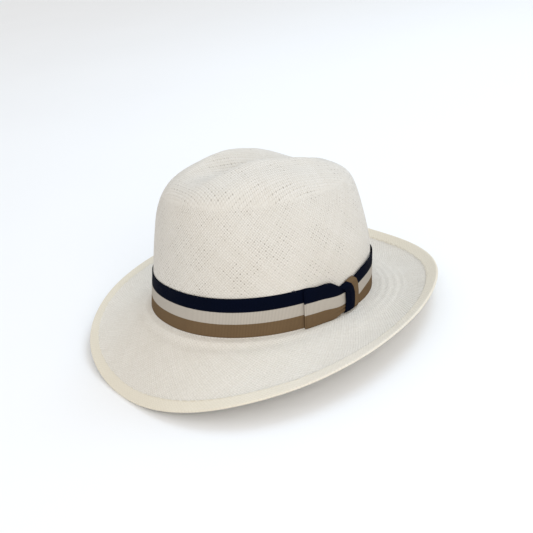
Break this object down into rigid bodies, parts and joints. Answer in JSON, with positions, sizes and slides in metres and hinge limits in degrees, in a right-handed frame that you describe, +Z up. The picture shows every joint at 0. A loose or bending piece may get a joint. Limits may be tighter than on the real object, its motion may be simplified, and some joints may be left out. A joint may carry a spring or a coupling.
{
  "type": "panama hat",
  "caption": "Woven straw fedora-shaped hat with creased crown, snapped-down front brim, striped ribbon band with a flat side bow, and a leather sweatband.",
  "frame": {"origin": "on the table under the middle of the hat's outline, as it stands on its front brim edge and the back of its brim", "axes": "+Z up from the table, +Y towards the back of the hat, -Y towards the snapped-down front, +X towards the wearer's left, where the bow is"},
  "size_m": [0.2922, 0.3225, 0.1512],
  "materials": {
    "woven_straw": "matte woven toquilla straw",
    "striped_ribbon": "ribbed grosgrain, navy, off-white and khaki stripes",
    "sweatband_leather": "satin",
    "reed_plastic": "matte",
    "cotton_tape": "matte woven tape",
    "thread": "matte",
    "satin_ribbon": "satin",
    "label_satin": "satin, blank"
  },
  "bodies": {
    "root": {"hat_body": "woven_straw", "hat_band": "striped_ribbon", "bow_loop": "striped_ribbon", "bow_knot": "striped_ribbon", "sweatband": "sweatband_leather", "sweatband_reed": "reed_plastic", "reed_tape": "cotton_tape", "sweatband_bow": "satin_ribbon", "size_label": "label_satin", "sweatband_stitches": "thread", "brim_edge_stitches": "thread", "band_tack_stitches": "thread", "bow_stitches": "thread"}
  },
  "joints": []
}
